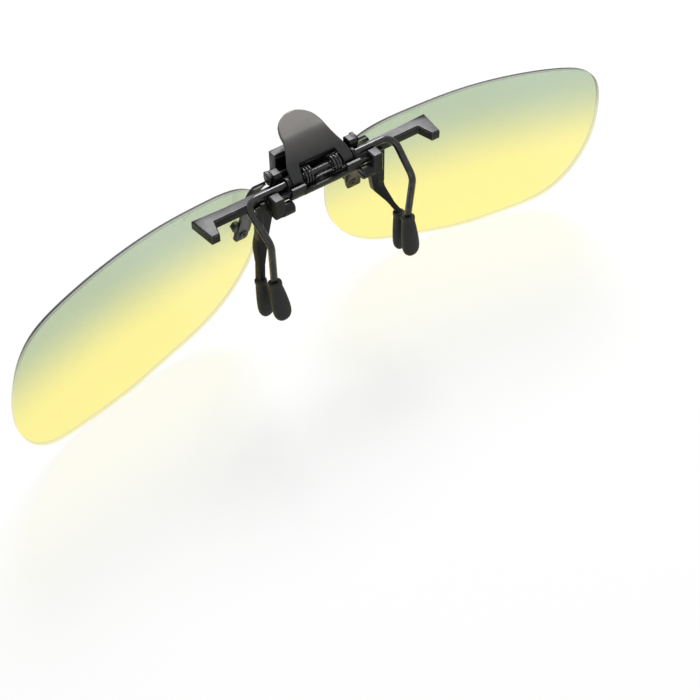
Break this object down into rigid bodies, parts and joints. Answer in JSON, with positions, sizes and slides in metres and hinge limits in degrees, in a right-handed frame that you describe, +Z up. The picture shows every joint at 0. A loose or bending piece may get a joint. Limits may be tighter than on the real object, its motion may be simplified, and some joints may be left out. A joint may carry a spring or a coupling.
{
  "type": "clip on flip lenses",
  "caption": "Flip-up tinted lens pair on a sprung bridge clamp that grips the front of a pair of spectacles, with a thumb lever to open it.",
  "frame": {"origin": "spectacle seat: on the mid-plane, level with the underside of the two support bars, 2.6 mm in front of the clamp axle", "axes": "+X along the bars towards the wearer's left lens, +Y towards the wearer's face, +Z up"},
  "size_m": [0.1446, 0.0236, 0.0522],
  "materials": {
    "bracket_black": "satin black coating on stamped steel sheet",
    "bar_black": "satin black coating with slightly worn edges",
    "leg_black": "satin black coating on flat bar",
    "wire_black": "smooth semi-gloss black coating on round wire",
    "lever_gunmetal": "fine satin gunmetal coating, brushed lengthwise",
    "spring_steel": "blackened spring wire with bright crowns",
    "screw_dark": "blackened steel",
    "washer_dark": "thin dark nylon washer",
    "tip_rubber": "soft matt black sleeve",
    "lens_tint": "transparent sheet tinted from grey-green at the top to bright yellow below"
  },
  "bodies": {
    "base": {"base_bracket": "bracket_black", "support_bar_left": "bar_black", "support_bar_right": "bar_black", "leg_block_left": "bracket_black", "leg_block_right": "bracket_black", "leg_screws": "screw_dark", "front_leg_left": "leg_black", "front_leg_right": "leg_black", "front_tip_left": "tip_rubber", "front_tip_right": "tip_rubber", "flip_ear_left": "bracket_black", "flip_ear_right": "bracket_black", "detent_housing": "bracket_black", "detent_spring": "spring_steel"},
    "clamp": {"clamp_wire": "wire_black", "thumb_lever": "lever_gunmetal", "torsion_spring": "spring_steel", "rear_tip_left": "tip_rubber", "rear_tip_right": "tip_rubber"},
    "flip": {"flip_pin": "screw_dark", "flip_cam": "screw_dark", "lens_arm_left": "bracket_black", "lens_arm_right": "bracket_black", "lens_left": "lens_tint", "lens_right": "lens_tint", "lens_screws": "screw_dark", "lens_washers": "washer_dark", "lens_nuts": "screw_dark"}
  },
  "joints": [
    {"name": "clamp_hinge", "type": "hinge", "parent": "base", "child": "clamp", "pos_m": [0, 0.0026, 0.0031], "axis": [1, 0, 0], "range_deg": [0, 16], "stiffness_Nm_per_rad": 0.05, "springref_deg": -20.05},
    {"name": "flip_hinge", "type": "hinge", "parent": "base", "child": "flip", "pos_m": [0, -0.00035, 0.00345], "axis": [-1, 0, 0], "range_deg": [0, 95]}
  ]
}
